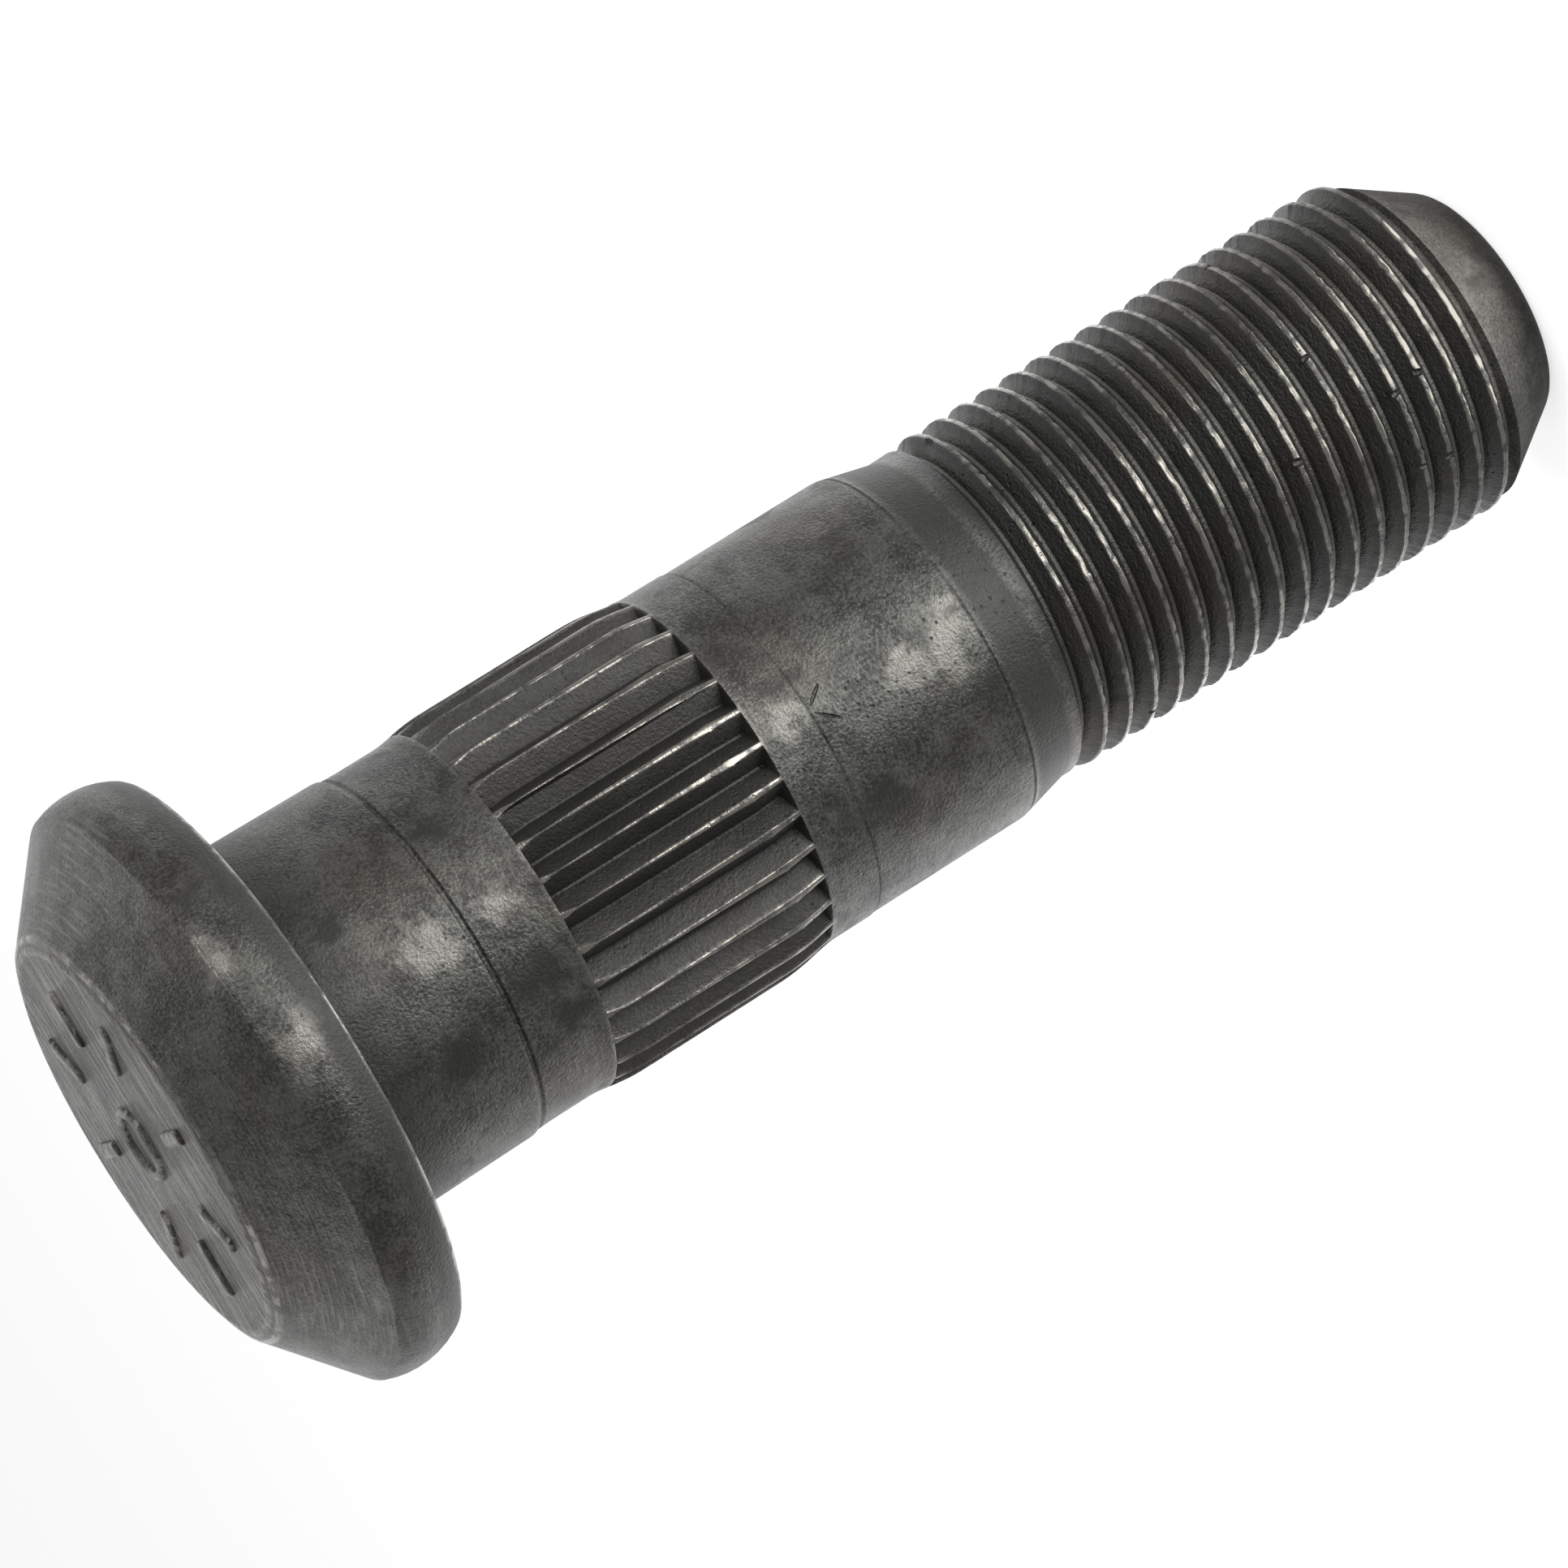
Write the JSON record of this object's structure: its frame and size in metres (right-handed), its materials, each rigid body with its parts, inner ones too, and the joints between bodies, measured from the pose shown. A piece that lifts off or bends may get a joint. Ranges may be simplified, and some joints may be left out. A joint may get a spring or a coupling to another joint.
{
  "type": "wheel stud",
  "caption": "Press-in wheel stud: cone-topped round head, plain shanks, a straight knurled band for the hub, and a fine left-hand thread with a long lead-in cone.",
  "frame": {"origin": "centre of the thread's end face, which the stud stands on", "axes": "+Z along the stud's axis, from the thread's end up to the head; X and Y are free, with a groove of the knurl on +X"},
  "size_m": [0.0312, 0.0312, 0.0783],
  "materials": {
    "black_steel": "black phosphate over forged steel, satin, lightly rubbed on the crests"
  },
  "bodies": {
    "root": {"wheel_stud": "black_steel"}
  },
  "joints": []
}
